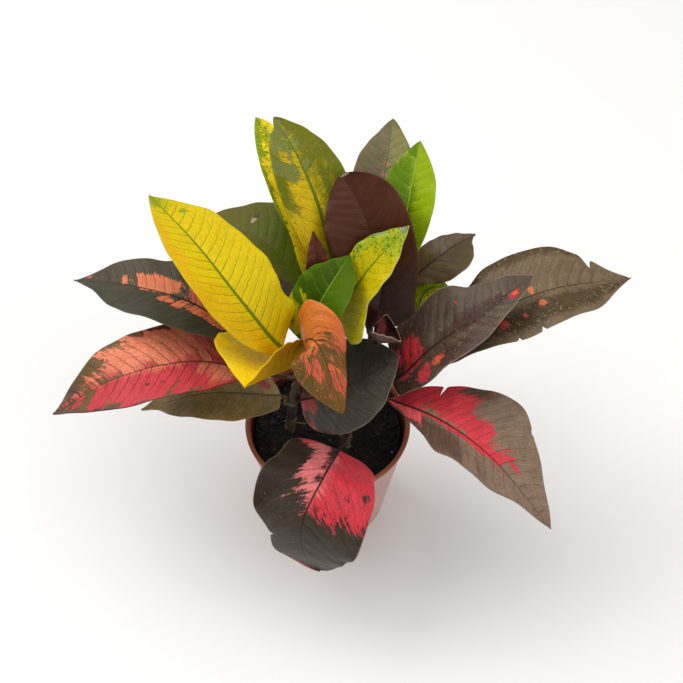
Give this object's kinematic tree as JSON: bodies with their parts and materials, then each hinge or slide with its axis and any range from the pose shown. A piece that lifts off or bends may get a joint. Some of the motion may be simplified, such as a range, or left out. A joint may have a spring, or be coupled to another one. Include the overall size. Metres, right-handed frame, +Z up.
{
  "type": "potted croton",
  "caption": "Bushy croton in a tapered terracotta-coloured nursery pot: woody stems stand in dark soil and carry broad, gently waved leathery leaves in yellow, green, crimson and maroon.",
  "frame": {"origin": "middle of the pot's foot, on the surface it stands on", "axes": "+Z up; the side of the plant that the picture shows faces -Y"},
  "size_m": [0.403, 0.2682, 0.288],
  "materials": {
    "pot": "satin",
    "soil": "matte",
    "stem": "matte",
    "leaf_yellow": "satin",
    "leaf_lime": "satin",
    "leaf_green": "satin",
    "leaf_red": "satin",
    "leaf_orange": "satin",
    "leaf_dark": "satin",
    "leaf_maroon": "satin"
  },
  "bodies": {
    "root": {"pot": "pot", "soil": "soil", "stem_left": "stem", "stem_right": "stem", "leaf_yellow_left": "leaf_yellow", "leaf_yellow_back": "leaf_yellow", "leaf_yellow_folded": "leaf_yellow", "leaf_olive_back": "leaf_lime", "leaf_lime_young": "leaf_lime", "leaf_yellow_tucked": "leaf_lime", "leaf_green_shaded": "leaf_green", "leaf_green_young": "leaf_green", "leaf_green_tall": "leaf_green", "leaf_red_left": "leaf_red", "leaf_crimson_low_right": "leaf_red", "leaf_crimson_front": "leaf_red", "leaf_orange_centre": "leaf_orange", "leaf_dark_left": "leaf_dark", "leaf_brown_low_left": "leaf_dark", "leaf_grey_centre": "leaf_dark", "leaf_mottled_back": "leaf_dark", "leaf_brown_right": "leaf_dark", "leaf_dark_right": "leaf_dark", "leaf_dark_lobed": "leaf_dark", "leaf_maroon_small": "leaf_maroon", "leaf_maroon_tall": "leaf_maroon", "leaf_bud_upright": "leaf_maroon", "leaf_bud_curled": "leaf_maroon"}
  },
  "joints": []
}
